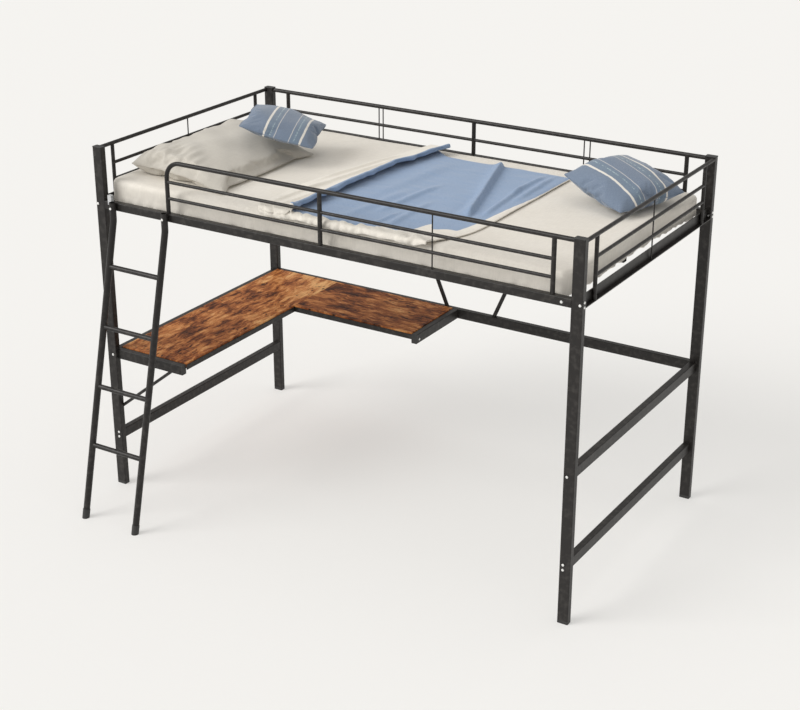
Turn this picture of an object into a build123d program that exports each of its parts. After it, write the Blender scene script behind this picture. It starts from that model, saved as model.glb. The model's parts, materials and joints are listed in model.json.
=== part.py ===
"""Metal loft bed with an L-shaped desk, a leaning ladder and its bedding.

Millimetres. +X runs along the bed from the head (left) to the foot (right), +Y runs from the
ladder side (front) to the back, +Z is up. The origin is on the floor, in the middle of the
whole object's footprint.
"""
import os
from math import atan2, cos, sin
from build123d import *

# ---- driving dimensions -------------------------------------------------------------------
LENGTH = 1980.0              # outside of the posts along the bed
DEPTH = 1081.0               # outside of the posts, front to back
HEIGHT = 1372.0              # floor to the top of the post caps

POST_WIDE, POST_DEEP = 40.0, 25.5
POST_RADIUS = 3.0
WALL = 1.5                   # tube wall of posts and beams
THIN_WALL = 1.2              # tube wall of guards and ladder
CAP_PROUD = 1.0              # how far a top cap stands out round its post
CAP_HIGH = 2.5
CAP_PLUG, FOOT_PLUG = 18.0, 18.0   # how far caps and feet reach into the posts
FOOT_HIGH = 12.0

RAIL_BOTTOM, RAIL_TOP = 1141.0, 1171.0
RAIL_DEEP = 25.0
ANGLE_THICK = 3.0            # sheet of the end rails
END_LEAF_TOP = 1181.0
END_LEDGE = 14.0             # ledge outside the end rail's upright leaf

BEAM_WIDE = 25.0
BEAM_HIGH = 39.0
DESK_BEAM_TOP = 575.0
LOW_BEAM_TOP = 237.5
BEAM_INSET = 14.0            # end beams from the outside of the posts

SLAT_WIDE, SLAT_HIGH, SLAT_COUNT = 38.0, 12.0, 12
SUPPORT_SIZE = 25.0

GUARD_Z = 1361.5             # centre line of the top tubes
MID_RAIL_Z, LOW_RAIL_Z = 1287.0, 1226.0
GUARD_R, GUARD_RAIL_R, GUARD_ROD_R = 8.0, 6.0, 2.4
END_GUARD_R = 7.0
GUARD_BEND = 60.0
GUARD_OPENING = 332.0        # left leg of the front guard from the left end
FRONT_GUARD_END = 111.0      # its last upright from the right end
FRONT_GUARD_ROD = 549.0      # its thin rod from the right end
BACK_GUARD_END = 112.0       # end uprights of the back guard from the ends
BACK_RODS_LEFT = (556.0, 575.0)
BACK_RODS_RIGHT = (519.0, 495.0)
END_GUARD_INSET = 100.0      # uprights of the end guards from the outside of the frame
BRACE_R, BRACE_FOOT, BRACE_HEAD = 8.0, 109.0, 352.5   # foot and head from the middle of the bed

BOARD_THICK = 16.0
BOARD_TOP = 578.0
DESK_REACH = 355.0           # outer face of the left board's inner edge, from the left end
ARM_REACH = 347.0            # end of the front arm's tube, from the left end
BACK_BOARD_DEPTH = 346.0     # front edge of the back board from the outer back face
BACK_BOARD_END = 913.0       # right end of the back board from the left end
EDGE_HIGH, EDGE_TOP = 20.0, 572.0
EDGE_LEDGE = 24.0
STRUT_R, STRUT_FOOT_Z, STRUT_HEAD = 6.0, 338.0, 290.0

STILE_R, RUNG_R = 12.5, 9.5
STILE_LEFT, STILE_RIGHT = 89.0, 331.0
LADDER_OUT = 286.0           # stile centre line at the floor, in front of the frame
LADDER_BEND_Z = 1108.0
LADDER_TOP_Z = 1176.0
LADDER_JOINT_Z = 594.0
LADDER_BEND_RADIUS = 60.0
RUNG_FIRST, RUNG_PITCH, RUNG_COUNT = 279.0, 220.7, 4
LADDER_CAP_R, LADDER_CAP_LONG = 14.0, 26.0
SLEEVE_LONG = 90.0
LADDER_BOLT_Z = 1155.0

BOLT_R, BOLT_HEAD_R, BOLT_HEAD_HIGH, BOLT_CLEAR = 3.0, 4.8, 2.6, 0.2
BOLT_PAST = 6.0              # shank beyond the post it goes through
END_BOLT_INSET, END_BOLT_Z = 8.3, 1155.5
SIDE_BOLT_Z = (1147.0, 1163.0)
BEAM_BOLTS = (DESK_BEAM_TOP - 20, LOW_BEAM_TOP - 11, LOW_BEAM_TOP - 30)
RAIL_BOLT_INSET = 72.6       # the single bolt on the front rail, from the right end

MATTRESS_SIZE = (1905.0, 990.0, 87.0)
MATTRESS_X = -18.0           # pushed up against the head end
SOFT_GAP = 0.5
SLEEPING_SIZE = (470.0, 640.0, 88.0)
HEAD_PILLOW_SIZE = (290.0, 290.0, 76.0)
FOOT_PILLOW_SIZE = (300.0, 300.0, 96.0)
BLANKET_LEFT, BLANKET_RIGHT = 712.0, 1492.0
BLANKET_FRONT, BLANKET_BACK = 26.0, 992.0
BLANKET_HIGH, BLANKET_LIP = 36.0, 16.0

# ---- derived places -------------------------------------------------------------------------
lean = atan2(LADDER_OUT - STILE_R, LADDER_BEND_Z)
LADDER_REACH = LADDER_OUT + LADDER_CAP_R / cos(lean)
LEFT, RIGHT = -LENGTH / 2, LENGTH / 2
FRONT = (LADDER_REACH - DEPTH - BOLT_HEAD_HIGH) / 2
BACK = FRONT + DEPTH
MIDDLE_Y = FRONT + DEPTH / 2
IN_FRONT, IN_BACK = FRONT + POST_DEEP, BACK - POST_DEEP
IN_LEFT, IN_RIGHT = LEFT + POST_WIDE, RIGHT - POST_WIDE
GUARD_FRONT_Y = FRONT + POST_DEEP / 2
GUARD_BACK_Y = BACK - POST_DEEP / 2
SLAT_TOP = RAIL_BOTTOM + SLAT_HIGH
MATTRESS_BOTTOM = SLAT_TOP + SOFT_GAP
MATTRESS_TOP = MATTRESS_BOTTOM + MATTRESS_SIZE[2]
BEAM_X = {"left": LEFT + BEAM_INSET + BEAM_WIDE / 2, "right": RIGHT - BEAM_INSET - BEAM_WIDE / 2}
POST_X = {"left": LEFT + POST_WIDE / 2, "right": RIGHT - POST_WIDE / 2}
POST_Y = {"front": FRONT + POST_DEEP / 2, "back": BACK - POST_DEEP / 2}
END_X = {"left": LEFT + END_GUARD_R, "right": RIGHT - END_GUARD_R}
STILES = {"left": LEFT + STILE_LEFT, "right": LEFT + STILE_RIGHT}
ARM_Y = FRONT + 13.0 + BEAM_WIDE / 2
ARM_RIGHT_X = LEFT + BACK_BOARD_END + BEAM_WIDE / 2
BACK_BOARD_Y = BACK - BACK_BOARD_DEPTH


def save(part, name):
    part.label = name
    export_step(part, f"parts/{name}.step")


def stile_y(z):
    """Centre line of the leaning part of the ladder at height z."""
    return FRONT - LADDER_OUT + (LADDER_OUT - STILE_R) * z / LADDER_BEND_Z


def cylinder(start, end, radius, wall=0.0):
    """Round bar or tube between two points."""
    axis = Vector(*end) - Vector(*start)
    with BuildPart() as bar:
        with BuildSketch(Plane(origin=start, z_dir=axis)):
            Circle(radius)
            if wall:
                Circle(radius - wall, mode=Mode.SUBTRACT)
        extrude(amount=axis.length)
    return bar.part


def joined(solids, cuts=()):
    """One node from separate solids, less the given cutting solids."""
    with BuildPart() as node:
        for solid in solids:
            add(solid)
        for cut in cuts:
            add(cut, mode=Mode.SUBTRACT)
    return node.part


def flat_tube(start, end, wide, high, wall=WALL, cuts=()):
    """Rectangular tube between two points; wide is along X or Y, high along Z or Y."""
    axis = Vector(*end) - Vector(*start)
    across = Vector(0, 1, 0) if abs(axis.X) > abs(axis.Y) + abs(axis.Z) else Vector(1, 0, 0)
    with BuildPart() as tube:
        with BuildSketch(Plane(origin=start, x_dir=across, z_dir=axis)):
            RectangleRounded(wide, high, POST_RADIUS)
            RectangleRounded(wide - 2 * wall, high - 2 * wall, POST_RADIUS - wall, mode=Mode.SUBTRACT)
        extrude(amount=axis.length)
        for cut in cuts:
            add(cut, mode=Mode.SUBTRACT)
    return tube.part


def block(low, high):
    """Plain box between two corners."""
    size = [h - l for l, h in zip(low, high)]
    with BuildPart() as box:
        with BuildSketch(Plane.XY.offset(low[2])):
            with Locations(((low[0] + high[0]) / 2, (low[1] + high[1]) / 2)):
                Rectangle(size[0], size[1])
        extrude(amount=size[2])
    return box.part


# ---- bolts: where they are and which way they go in -------------------------------------------
def bolt(place, inward, depth):
    """Button head outside the surface at place, shank going inward."""
    out = Plane(origin=place, z_dir=inward)
    with BuildPart() as screw:
        with BuildSketch(out):
            Circle(BOLT_R)
        extrude(amount=depth)
        with BuildSketch(out):
            Circle(BOLT_HEAD_R)
        extrude(amount=-BOLT_HEAD_HIGH)
        fillet(screw.faces().sort_by(Axis(place, inward))[0].edges(), 1.6)
    return screw.part


def bolt_hole(place, inward, depth):
    end = [p + d * depth for p, d in zip(place, inward)]
    begin = [p - d for p, d in zip(place, inward)]
    return cylinder(begin, end, BOLT_R + BOLT_CLEAR)


FRAME_BOLTS = []
for side in ("left", "right"):
    outward = -1 if side == "left" else 1
    end_bolt_x = POST_X[side] + outward * (POST_WIDE / 2 - END_BOLT_INSET)
    for name, face, inward in (("front", FRONT, (0, 1, 0)), ("back", BACK, (0, -1, 0))):
        spots = [(end_bolt_x, END_BOLT_Z)]
        spots += [(BEAM_X[side], z) for z in BEAM_BOLTS]
        for x, z in spots:
            FRAME_BOLTS.append(((x, face, z), inward, POST_DEEP + BOLT_PAST))
        side_face = LEFT if side == "left" else RIGHT
        for z in SIDE_BOLT_Z:
            FRAME_BOLTS.append(((side_face, POST_Y[name], z), (-outward, 0, 0), POST_WIDE + BOLT_PAST))
FRONT_RAIL_BOLTS = [((RIGHT - RAIL_BOLT_INSET, FRONT, END_BOLT_Z), (0, 1, 0), 14.0)]
LADDER_BOLTS = [((x, FRONT - 2 * STILE_R, LADDER_BOLT_Z), (0, 1, 0), 2 * STILE_R + 10)
                for x in STILES.values()]
ARM_BOLT = [((ARM_RIGHT_X + BEAM_WIDE / 2, BACK_BOARD_Y + 18, 552.0), (-1, 0, 0), 12.0)]
FRAME_HOLES = [bolt_hole(*spot) for spot in FRAME_BOLTS]


def near(holes, x, y):
    """The bolt holes that pass within a post's width of a place."""
    return [h for h in holes if abs(h.center().X - x) < 60 and abs(h.center().Y - y) < 60]


# ---- posts and their plastic ends -------------------------------------------------------------
def make_posts():
    caps, feet = [], []
    for side, x in POST_X.items():
        for name, y in POST_Y.items():
            cuts = near(FRAME_HOLES, x, y)
            top = HEIGHT - CAP_HIGH
            save(flat_tube((x, y, FOOT_HIGH), (x, y, top), POST_WIDE, POST_DEEP, WALL, cuts),
                 f"post_{name}_{side}")
            with BuildPart() as cap:
                with BuildSketch(Plane.XY.offset(top)):
                    with Locations((x, y)):
                        RectangleRounded(POST_WIDE + 2 * CAP_PROUD, POST_DEEP + 2 * CAP_PROUD, POST_RADIUS)
                extrude(amount=CAP_HIGH)
                fillet(cap.faces().sort_by(Axis.Z)[-1].edges(), CAP_HIGH / 2)
                with BuildSketch(Plane.XY.offset(top)):
                    with Locations((x, y)):
                        RectangleRounded(POST_WIDE - 2 * WALL - 0.4, POST_DEEP - 2 * WALL - 0.4, 1.2)
                extrude(amount=-CAP_PLUG)
            caps.append(cap.part)
            with BuildPart() as foot:
                with BuildSketch(Plane.XY):
                    with Locations((x, y)):
                        RectangleRounded(POST_WIDE, POST_DEEP, POST_RADIUS)
                extrude(amount=FOOT_HIGH)
                with BuildSketch(Plane.XY.offset(FOOT_HIGH)):
                    with Locations((x, y)):
                        RectangleRounded(POST_WIDE - 2 * WALL - 0.4, POST_DEEP - 2 * WALL - 0.4, 1.2)
                extrude(amount=FOOT_PLUG)
            feet.append(foot.part)
    save(joined(caps), "post_top_caps")
    save(joined(feet), "post_foot_caps")


# ---- rails and beams ----------------------------------------------------------------------------
def make_rails():
    rail_z = (RAIL_BOTTOM + RAIL_TOP) / 2
    ladder_holes = [bolt_hole((x, FRONT, LADDER_BOLT_Z), (0, 1, 0), 14) for x in STILES.values()]
    front_cuts = FRAME_HOLES + [bolt_hole(*spot) for spot in FRONT_RAIL_BOLTS] + ladder_holes
    for name, y, cuts in (("front", FRONT + RAIL_DEEP / 2, front_cuts), ("back", BACK - RAIL_DEEP / 2, [])):
        save(flat_tube((IN_LEFT, y, rail_z), (IN_RIGHT, y, rail_z), RAIL_DEEP, RAIL_TOP - RAIL_BOTTOM,
                       WALL, cuts), f"side_rail_{name}")
    for side, outward in (("left", -1), ("right", 1)):
        face = LEFT if side == "left" else RIGHT
        leaf = face - outward * END_LEDGE
        inner = leaf - outward * ANGLE_THICK
        with BuildPart() as rail:
            with BuildSketch(Plane.XZ.offset(-IN_FRONT)):
                with BuildLine():
                    Polyline((face, RAIL_BOTTOM), (face, RAIL_BOTTOM + ANGLE_THICK),
                             (leaf, RAIL_BOTTOM + ANGLE_THICK), (leaf, END_LEAF_TOP),
                             (inner, END_LEAF_TOP), (inner, RAIL_BOTTOM), close=True)
                make_face()
            extrude(amount=-(IN_BACK - IN_FRONT))
            for y0, y1 in ((IN_FRONT, IN_FRONT + ANGLE_THICK), (IN_BACK - ANGLE_THICK, IN_BACK)):
                add(block((min(face, inner), y0, RAIL_BOTTOM), (max(face, inner), y1, RAIL_TOP)))
            for hole in FRAME_HOLES:
                add(hole, mode=Mode.SUBTRACT)
        save(rail.part, f"end_rail_{side}")
        for name, top in (("mid", DESK_BEAM_TOP), ("low", LOW_BEAM_TOP)):
            z = top - BEAM_HIGH / 2
            save(flat_tube((BEAM_X[side], IN_FRONT, z), (BEAM_X[side], IN_BACK, z), BEAM_WIDE, BEAM_HIGH),
                 f"{name}_beam_{side}")
    z = DESK_BEAM_TOP - BEAM_HIGH / 2
    save(flat_tube((IN_LEFT, BACK - BEAM_WIDE / 2, z), (IN_RIGHT, BACK - BEAM_WIDE / 2, z),
                   BEAM_WIDE, BEAM_HIGH), "back_mid_beam")


def make_slats():
    half = SLAT_HIGH / 2
    span = LENGTH - 2 * POST_WIDE - 160
    xs = [-span / 2 + span * i / (SLAT_COUNT - 1) for i in range(SLAT_COUNT)]
    y0, y1 = FRONT + RAIL_DEEP, BACK - RAIL_DEEP
    slats = [flat_tube((x, y0, SLAT_TOP - half), (x, y1, SLAT_TOP - half), SLAT_WIDE, SLAT_HIGH, 1.2)
             for x in xs]
    save(joined(slats), "bed_slats")
    z = RAIL_BOTTOM - SUPPORT_SIZE / 2
    reach = span / 2 + SLAT_WIDE / 2
    with BuildPart() as beam:
        add(flat_tube((-reach, MIDDLE_Y, z), (reach, MIDDLE_Y, z), SUPPORT_SIZE, SUPPORT_SIZE))
    save(beam.part, "slat_support_beam")


def make_hanger_braces():
    for side, way in (("left", -1), ("right", 1)):
        foot = (way * BRACE_FOOT, GUARD_BACK_Y, DESK_BEAM_TOP)
        head = (way * BRACE_HEAD, GUARD_BACK_Y, RAIL_BOTTOM)
        slope = (Vector(*head) - Vector(*foot)).normalized() * 20
        with BuildPart() as brace:
            add(cylinder(Vector(*foot) - slope, Vector(*head) + slope, BRACE_R, THIN_WALL))
            split(bisect_by=Plane.XY.offset(DESK_BEAM_TOP), keep=Keep.TOP)
            split(bisect_by=Plane.XY.offset(RAIL_BOTTOM), keep=Keep.BOTTOM)
        save(brace.part, f"hanger_brace_{side}")


# ---- guards -------------------------------------------------------------------------------------
def rod_pieces(x, y, foot_z, top_r, rail_r=GUARD_RAIL_R):
    """Thin rod from the rail to the top tube, in stretches between the guard rails."""
    stops = [(foot_z, LOW_RAIL_Z - rail_r), (LOW_RAIL_Z + rail_r, MID_RAIL_Z - rail_r),
             (MID_RAIL_Z + rail_r, GUARD_Z - top_r)]
    return [cylinder((x, y, low), (x, y, high), GUARD_ROD_R) for low, high in stops]


def side_guard(name, y, top_tube, upright_xs, rod_xs, rail_start, rail_end):
    """Guard in a plane along X: rails, uprights and rods under a top tube."""
    posts = [cylinder((x, y, RAIL_TOP), (x, y, GUARD_Z), GUARD_R) for x in upright_xs]
    uprights = [cylinder((x, y, RAIL_TOP), (x, y, GUARD_Z), GUARD_R, THIN_WALL) for x in upright_xs]
    rods = [piece for x in rod_xs for piece in rod_pieces(x, y, RAIL_TOP, GUARD_R)]
    save(joined(uprights + rods, [top_tube]), f"{name}_guard_uprights")
    rails = [cylinder((rail_start, y, z), (rail_end, y, z), GUARD_RAIL_R) for z in (MID_RAIL_Z, LOW_RAIL_Z)]
    save(joined(rails, posts + [top_tube]), f"{name}_guard_rails")


def make_front_guard():
    y = GUARD_FRONT_Y
    leg_x = LEFT + GUARD_OPENING
    solids = []
    for radius, wall in ((GUARD_R, 0.0), (GUARD_R, THIN_WALL)):
        with BuildPart() as tube:
            with BuildLine():
                FilletPolyline((leg_x, y, RAIL_TOP), (leg_x, y, GUARD_Z), (IN_RIGHT, y, GUARD_Z),
                               radius=GUARD_BEND)
            with BuildSketch(Plane(origin=(leg_x, y, RAIL_TOP), z_dir=(0, 0, 1))):
                Circle(radius)
                if wall:
                    Circle(radius - wall, mode=Mode.SUBTRACT)
            sweep()
        solids.append(tube.part)
    save(solids[1], "front_guard_top_tube")
    last = RIGHT - FRONT_GUARD_END
    side_guard("front", y, solids[0], (0.0, last), (RIGHT - FRONT_GUARD_ROD,), leg_x, last)


def make_back_guard():
    y = GUARD_BACK_Y
    top = cylinder((IN_LEFT, y, GUARD_Z), (IN_RIGHT, y, GUARD_Z), GUARD_R)
    save(cylinder((IN_LEFT, y, GUARD_Z), (IN_RIGHT, y, GUARD_Z), GUARD_R, THIN_WALL), "back_guard_top_tube")
    ends = (LEFT + BACK_GUARD_END, RIGHT - BACK_GUARD_END)
    rods = [LEFT + reach for reach in BACK_RODS_LEFT] + [RIGHT - reach for reach in BACK_RODS_RIGHT]
    side_guard("back", y, top, (ends[0], 0.0, ends[1]), rods, ends[0], ends[1])


def make_end_guards():
    foot_z = RAIL_BOTTOM + ANGLE_THICK
    for side, x in END_X.items():
        ys = (FRONT + END_GUARD_INSET, BACK - END_GUARD_INSET)
        line = ((x, IN_FRONT, GUARD_Z), (x, IN_BACK, GUARD_Z))
        top = cylinder(*line, END_GUARD_R)
        save(cylinder(*line, END_GUARD_R, THIN_WALL), f"{side}_guard_top_tube")
        posts = [cylinder((x, y, foot_z), (x, y, GUARD_Z), END_GUARD_R) for y in ys]
        uprights = [cylinder((x, y, foot_z), (x, y, GUARD_Z), END_GUARD_R, THIN_WALL) for y in ys]
        rods = rod_pieces(x, MIDDLE_Y, foot_z, END_GUARD_R)
        save(joined(uprights + rods, [top]), f"{side}_guard_uprights")
        rails = [cylinder((x, ys[0], z), (x, ys[1], z), GUARD_RAIL_R) for z in (MID_RAIL_Z, LOW_RAIL_Z)]
        save(joined(rails, posts), f"{side}_guard_rails")


# ---- desk ---------------------------------------------------------------------------------------
def board(low, high, name):
    with BuildPart() as wood:
        add(block(low, high))
        fillet(wood.faces().sort_by(Axis.Z)[-1].edges(), 1.0)
    save(wood.part, name)


def edge_angle(low, high, along, name):
    """Edge strip: a leaf outside the board's edge and a ledge under the board."""
    ledge_top = BOARD_TOP - BOARD_THICK
    if along == "y":
        leaf = block((high[0] - ANGLE_THICK, low[1], EDGE_TOP - EDGE_HIGH), (high[0], high[1], EDGE_TOP))
        ledge = block((high[0] - EDGE_LEDGE, low[1], ledge_top - ANGLE_THICK), (high[0], high[1], ledge_top))
    else:
        leaf = block((low[0], low[1], EDGE_TOP - EDGE_HIGH), (high[0], low[1] + ANGLE_THICK, EDGE_TOP))
        ledge = block((low[0], low[1], ledge_top - ANGLE_THICK), (high[0], low[1] + EDGE_LEDGE, ledge_top))
    save(joined([leaf, ledge]), name)


def make_desk():
    low, high = BOARD_TOP - BOARD_THICK, BOARD_TOP
    seam = 0.4
    board_left = LEFT + BEAM_INSET + BEAM_WIDE
    board_back = BACK - BEAM_WIDE
    arm_back = ARM_Y + BEAM_WIDE / 2
    inner = LEFT + DESK_REACH - ANGLE_THICK
    board((board_left, arm_back, low), (inner, board_back, high), "desk_board_left")
    board((inner + seam, BACK_BOARD_Y + ANGLE_THICK, low), (LEFT + BACK_BOARD_END, board_back, high),
          "desk_board_back")
    edge_angle((0, arm_back), (LEFT + DESK_REACH, BACK_BOARD_Y), "y", "desk_inner_beam")
    edge_angle((LEFT + DESK_REACH, BACK_BOARD_Y), (LEFT + BACK_BOARD_END, 0), "x", "desk_front_beam")
    z = DESK_BEAM_TOP - BEAM_HIGH / 2
    arm_end = LEFT + ARM_REACH
    save(flat_tube((IN_LEFT, ARM_Y, z), (arm_end, ARM_Y, z), BEAM_WIDE, BEAM_HIGH), "desk_arm_front")
    cuts = [bolt_hole(*spot) for spot in ARM_BOLT]
    save(flat_tube((ARM_RIGHT_X, BACK_BOARD_Y + 3, z), (ARM_RIGHT_X, BACK - BEAM_WIDE, z),
                   BEAM_WIDE, BEAM_HIGH, WALL, cuts), "desk_arm_right")
    with BuildPart() as caps:
        with BuildSketch(Plane(origin=(arm_end, ARM_Y, z), x_dir=(0, 1, 0), z_dir=(1, 0, 0))):
            RectangleRounded(BEAM_WIDE, BEAM_HIGH, POST_RADIUS)
        extrude(amount=3)
        arm_front = (ARM_RIGHT_X, BACK_BOARD_Y + 3, z)
        with BuildSketch(Plane(origin=arm_front, x_dir=(1, 0, 0), z_dir=(0, -1, 0))):
            RectangleRounded(BEAM_WIDE, BEAM_HIGH, POST_RADIUS)
        extrude(amount=3)
    save(caps.part, "desk_arm_end_caps")
    foot = Vector(IN_LEFT, ARM_Y, STRUT_FOOT_Z)
    head = Vector(LEFT + STRUT_HEAD, ARM_Y, DESK_BEAM_TOP - BEAM_HIGH)
    slope = (head - foot).normalized() * 12
    with BuildPart() as strut:
        add(cylinder(foot - slope, head + slope, STRUT_R, THIN_WALL))
        split(bisect_by=Plane.YZ.offset(IN_LEFT), keep=Keep.TOP)
        split(bisect_by=Plane.XY.offset(DESK_BEAM_TOP - BEAM_HIGH), keep=Keep.BOTTOM)
    save(strut.part, "desk_strut")


# ---- ladder -------------------------------------------------------------------------------------
def make_ladder():
    direction = Vector(0, sin(lean), cos(lean))
    sleeves, feet, rung_cuts = [], [], []
    for side, x in STILES.items():
        joint = (x, stile_y(LADDER_JOINT_Z), LADDER_JOINT_Z)
        bend = (x, FRONT - STILE_R, LADDER_BEND_Z)
        top = (x, FRONT - STILE_R, LADDER_TOP_Z)
        bolt_cut = bolt_hole((x, FRONT - 2 * STILE_R, LADDER_BOLT_Z), (0, 1, 0), 2 * STILE_R)
        with BuildPart() as upper:
            with BuildLine():
                FilletPolyline(joint, bend, top, radius=LADDER_BEND_RADIUS)
            with BuildSketch(Plane(origin=joint, z_dir=direction)):
                Circle(STILE_R)
                Circle(STILE_R - THIN_WALL, mode=Mode.SUBTRACT)
            sweep()
            add(bolt_cut, mode=Mode.SUBTRACT)
        save(upper.part, f"ladder_stile_upper_{side}")
        foot_low = Vector(x, stile_y(0), 0) + direction * 8
        save(cylinder(foot_low, joint, STILE_R, THIN_WALL), f"ladder_stile_lower_{side}")
        sleeve_r = STILE_R - THIN_WALL - 0.1
        low = Vector(*joint) - direction * SLEEVE_LONG / 2
        sleeves.append(cylinder(low, low + direction * SLEEVE_LONG, sleeve_r, WALL))
        below = Vector(x, stile_y(0), 0) - direction * 10
        with BuildPart() as cap:
            add(cylinder(below, foot_low + direction * LADDER_CAP_LONG, LADDER_CAP_R))
            add(cylinder(foot_low, foot_low + direction * 40, STILE_R), mode=Mode.SUBTRACT)
            split(bisect_by=Plane.XY, keep=Keep.TOP)
        feet.append(cap.part)
        rung_cuts.append(cylinder(below, Vector(*bend) + direction * 20, STILE_R))
    save(joined(sleeves), "ladder_joint_sleeves")
    save(joined(feet), "ladder_foot_caps")
    for i in range(RUNG_COUNT):
        z = RUNG_FIRST + i * RUNG_PITCH
        y = stile_y(z)
        rung = cylinder((STILES["left"], y, z), (STILES["right"], y, z), RUNG_R)
        save(joined([rung], rung_cuts), f"ladder_rung_{i + 1}")


def make_hardware():
    save(joined([bolt(*spot) for spot in FRAME_BOLTS + FRONT_RAIL_BOLTS]), "frame_bolts")
    save(joined([bolt(*spot) for spot in LADDER_BOLTS]), "ladder_bolts")
    save(joined([bolt(*spot) for spot in ARM_BOLT]), "desk_bolt")
    clip_x = LEFT + 58
    with BuildPart() as clip:
        with BuildSketch(Plane(origin=(clip_x, 0, 0), z_dir=(1, 0, 0), x_dir=(0, 1, 0))):
            with BuildLine():
                Polyline((FRONT - 2, 1160), (FRONT - 2, 1196), (FRONT + 12, 1196), (FRONT + 12, 1171),
                         (FRONT + 10, 1171), (FRONT + 10, 1194), (FRONT, 1194), (FRONT, 1160), close=True)
            make_face()
        extrude(amount=16)
    save(clip.part, "rail_clip")


# ---- bedding ------------------------------------------------------------------------------------
def crowned_block(centre, size, x_dir, normal):
    """Simple pillow form: full size at mid thickness, about half size at both faces."""
    length, width, thick = size
    middle = Plane(origin=centre, x_dir=x_dir, z_dir=normal)
    halves = []
    for way in (1, -1):
        with BuildPart() as half:
            with BuildSketch(middle):
                RectangleRounded(length, width, 18)
            with BuildSketch(middle.offset(way * thick * 0.32)):
                RectangleRounded(length * 0.86, width * 0.86, 18)
            with BuildSketch(middle.offset(way * thick * 0.5)):
                RectangleRounded(length * 0.5, width * 0.5, 18)
            loft(ruled=True)
        halves.append(half.part)
    return joined(halves)


def make_bedding():
    x, y, high = MATTRESS_SIZE
    with BuildPart() as mattress:
        with BuildSketch(Plane.XY.offset(MATTRESS_BOTTOM)):
            with Locations((MATTRESS_X, MIDDLE_Y)):
                RectangleRounded(x, y, 30)
        extrude(amount=high)
        fillet(mattress.faces().sort_by(Axis.Z)[-1].edges(), 18)
    save(mattress.part, "mattress")

    centre = (LEFT + 280, FRONT + 440, MATTRESS_TOP + SOFT_GAP + SLEEPING_SIZE[2] / 2)
    save(crowned_block(centre, SLEEPING_SIZE, (1, 0, 0), (0, 0, 1)), "sleeping_pillow")
    centre = (LEFT + 426, FRONT + 598, MATTRESS_TOP + 132)
    save(crowned_block(centre, HEAD_PILLOW_SIZE, (0.89, 0.39, -0.25), (0.26, 0.04, 0.96)),
         "striped_pillow_head")
    centre = (LEFT + 1757, FRONT + 776, MATTRESS_TOP + 76)
    save(crowned_block(centre, FOOT_PILLOW_SIZE, (0.4, 0.92, 0.06), (0.17, -0.14, 0.98)),
         "striped_pillow_foot")

    with BuildPart() as blanket:
        low = (LEFT + BLANKET_LEFT, FRONT + BLANKET_FRONT, MATTRESS_TOP + SOFT_GAP)
        high = (LEFT + BLANKET_RIGHT, FRONT + BLANKET_BACK, MATTRESS_TOP + BLANKET_HIGH)
        add(block(low, high))
        lip_back = FRONT + (DEPTH - MATTRESS_SIZE[1]) / 2 - 2
        add(block((low[0], low[1], MATTRESS_TOP - BLANKET_LIP), (high[0], lip_back, high[2])))
        fillet(blanket.faces().sort_by(Axis.Z)[-1].edges(), 10)
    save(blanket.part, "blanket")


os.makedirs("parts", exist_ok=True)
make_posts()
make_rails()
make_slats()
make_hanger_braces()
make_front_guard()
make_back_guard()
make_end_guards()
make_desk()
make_ladder()
make_hardware()
make_bedding()
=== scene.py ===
"""Looks for the loft bed with desk: steel, boards, modelled bedding, floor, light and camera."""

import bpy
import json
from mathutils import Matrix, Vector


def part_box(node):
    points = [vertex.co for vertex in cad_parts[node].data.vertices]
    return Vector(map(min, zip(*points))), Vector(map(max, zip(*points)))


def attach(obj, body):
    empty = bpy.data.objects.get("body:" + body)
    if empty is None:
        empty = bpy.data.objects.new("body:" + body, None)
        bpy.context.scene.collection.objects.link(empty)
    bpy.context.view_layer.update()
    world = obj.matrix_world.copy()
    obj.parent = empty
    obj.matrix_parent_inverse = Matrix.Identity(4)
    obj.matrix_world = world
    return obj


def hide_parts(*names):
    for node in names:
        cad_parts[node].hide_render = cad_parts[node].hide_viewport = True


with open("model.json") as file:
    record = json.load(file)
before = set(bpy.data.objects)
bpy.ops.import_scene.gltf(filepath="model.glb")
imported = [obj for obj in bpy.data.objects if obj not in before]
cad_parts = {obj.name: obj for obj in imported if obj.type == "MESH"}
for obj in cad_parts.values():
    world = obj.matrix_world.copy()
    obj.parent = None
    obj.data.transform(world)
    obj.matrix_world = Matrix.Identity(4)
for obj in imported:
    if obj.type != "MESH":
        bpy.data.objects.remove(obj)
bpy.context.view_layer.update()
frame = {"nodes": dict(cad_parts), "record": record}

import json
import math

import bmesh
import bpy
import numpy as np
from mathutils import Vector
from mathutils.bvhtree import BVHTree

RECORD = frame["record"]
CAD = frame["nodes"]
scene = bpy.context.scene
scene.view_settings.view_transform = "Standard"

# ---- driving values, in metres unless said otherwise ------------------------------------------
CAMERA_AZIMUTH, CAMERA_ELEVATION = 31.785, 23.135    # degrees
CAMERA_DISTANCE = 5.9
CAMERA_AIM = Vector((0.102, -0.030, 0.661))
CAMERA_LENS, SENSOR = 72.67, 36.0                    # millimetres

FLOOR_REACH = 40.0
FLOOR_COLOUR = (0.896, 0.889, 0.870)
FLOOR_GLOW = 0.46                                    # share of the floor's light that no shadow takes away
BACKDROP = 1.015                                     # brightness of the far backdrop, against the floor's
AMBIENT_COLOUR, AMBIENT = (1.0, 0.978, 0.95, 1), 0.58
SUNS = (
    # name, shines from, spread in degrees, strength, colour
    ("window", (-0.56, -0.66, 0.56), 34, 2.05, (1.0, 0.99, 0.975)),
    ("ceiling", (-0.15, -0.10, 1.0), 60, 0.34, (1.0, 0.995, 0.985)),
)

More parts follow.
